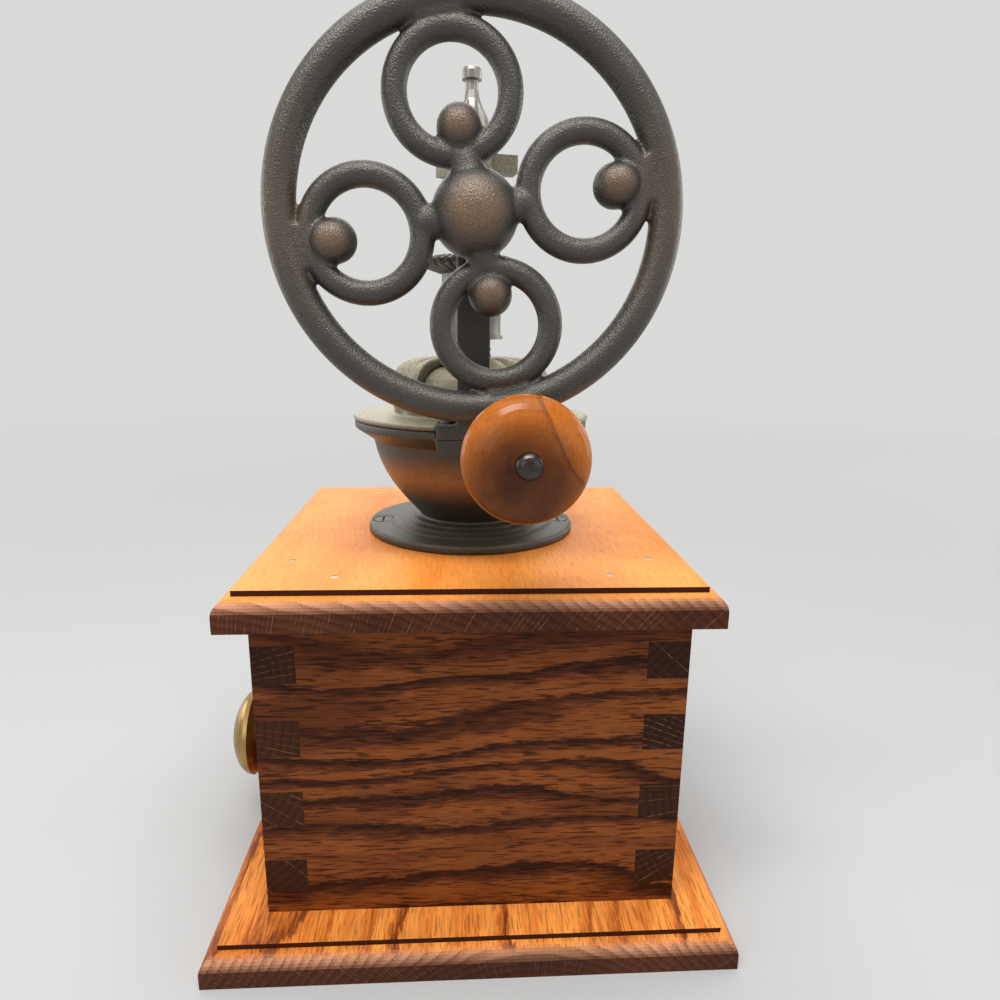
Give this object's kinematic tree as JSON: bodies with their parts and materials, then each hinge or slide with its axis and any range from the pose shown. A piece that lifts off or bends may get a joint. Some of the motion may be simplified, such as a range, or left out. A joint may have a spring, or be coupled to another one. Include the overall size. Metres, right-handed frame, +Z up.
{
  "type": "manual coffee grinder",
  "caption": "Table coffee mill with an iron flywheel and wooden crank knob, bevel gears under an arched yoke, a lobed hopper cover with a sliding door, and a finger-jointed oak box with a drawer.",
  "frame": {"origin": "centre of the base board's underside", "axes": "+Z up, +X towards the flywheel, -Y towards the drawer's front"},
  "size_m": [0.2053, 0.203, 0.3234],
  "materials": {
    "board_oak": "orange-brown stained oak, satin lacquer",
    "box_oak": "dark red-brown stained oak, satin lacquer",
    "inner_wood": "plain pale wood",
    "knob_wood": "turned hardwood, glossy honey-orange lacquer",
    "iron": "fine-grained black coating with a bronze tint on worn high spots",
    "burr_iron": "bare grey iron",
    "steel": "bare steel",
    "bronze": "aged bronze",
    "brass": "polished brass"
  },
  "bodies": {
    "frame": {"base_board": "board_oak", "wheel_side_panel": "box_oak", "far_side_panel": "box_oak", "front_panel": "box_oak", "rear_panel": "box_oak", "top_board": "board_oak", "top_brads": "steel", "base_screws": "steel", "drawer_guides": "inner_wood", "hopper_bowl": "iron", "flange_screws": "steel", "burr_ring": "burr_iron", "lower_bridge": "iron", "bridge_screws": "steel", "lower_bush": "bronze", "hopper_cover": "iron", "door_retainer": "steel", "yoke": "iron", "yoke_screws": "steel", "crown_bush": "bronze", "outer_bush": "bronze", "inner_bush": "bronze"},
    "drawer": {"drawer_front": "box_oak", "drawer_left_side": "inner_wood", "drawer_right_side": "inner_wood", "drawer_back": "inner_wood", "drawer_bottom": "inner_wood", "drawer_knob": "brass", "drawer_knob_screw": "steel"},
    "wheel": {"flywheel": "iron", "drive_shaft": "steel", "pinion": "iron", "pinion_pin": "steel", "wheel_set_screw": "steel", "shaft_washer": "steel", "crank_stud": "steel", "knob_washer": "steel"},
    "crank_knob": {"crank_knob": "knob_wood"},
    "thrust": {"thrust_ball": "steel", "spindle_spring": "steel"},
    "spindle": {"spindle": "steel", "crown_gear": "iron", "gear_hub": "iron", "crown_gear_pin": "steel", "burr_cone": "burr_iron"},
    "adjuster": {"adjusting_screw": "iron"},
    "lock_nut": {"star_nut": "iron"},
    "door": {"cover_door": "bronze", "door_knob": "bronze"}
  },
  "joints": [
    {"name": "wheel_spin", "type": "hinge", "parent": "frame", "child": "wheel", "pos_m": [0.045, 0, 0.2588], "axis": [1, 0, 0], "continuous": true},
    {"name": "knob_spin", "type": "hinge", "parent": "wheel", "child": "crank_knob", "pos_m": [0.09, 0.01463, 0.18687], "axis": [1, 0, 0], "continuous": true},
    {"name": "spindle_lift", "type": "slide", "parent": "frame", "child": "thrust", "axis": [0, 0, 1], "range_m": [0, 0.0008], "deforming": ["spindle_spring"]},
    {"name": "spindle_spin", "type": "hinge", "parent": "thrust", "child": "spindle", "pos_m": [0, 0, 0.2], "axis": [0, 0, 1], "continuous": true},
    {"name": "grind_turn", "type": "hinge", "parent": "thrust", "child": "adjuster", "pos_m": [0, 0, 0.29], "axis": [0, 0, 1], "range_deg": [0, 360]},
    {"name": "lock_turn", "type": "hinge", "parent": "frame", "child": "lock_nut", "pos_m": [0, 0, 0.287], "axis": [0, 0, 1], "range_deg": [0, 120]},
    {"name": "drawer_slide", "type": "slide", "parent": "frame", "child": "drawer", "axis": [0, -1, 0], "range_m": [0, 0.105]},
    {"name": "door_turn", "type": "hinge", "parent": "frame", "child": "door", "pos_m": [0, 0, 0.205], "axis": [0, 0, 1], "range_deg": [-36, 0]}
  ],
  "couplings": [
    {"joint": "spindle_spin", "follows": "wheel_spin", "ratio": 0.38889},
    {"joint": "grind_turn", "follows": "spindle_lift", "rad_per_m": 7854}
  ]
}
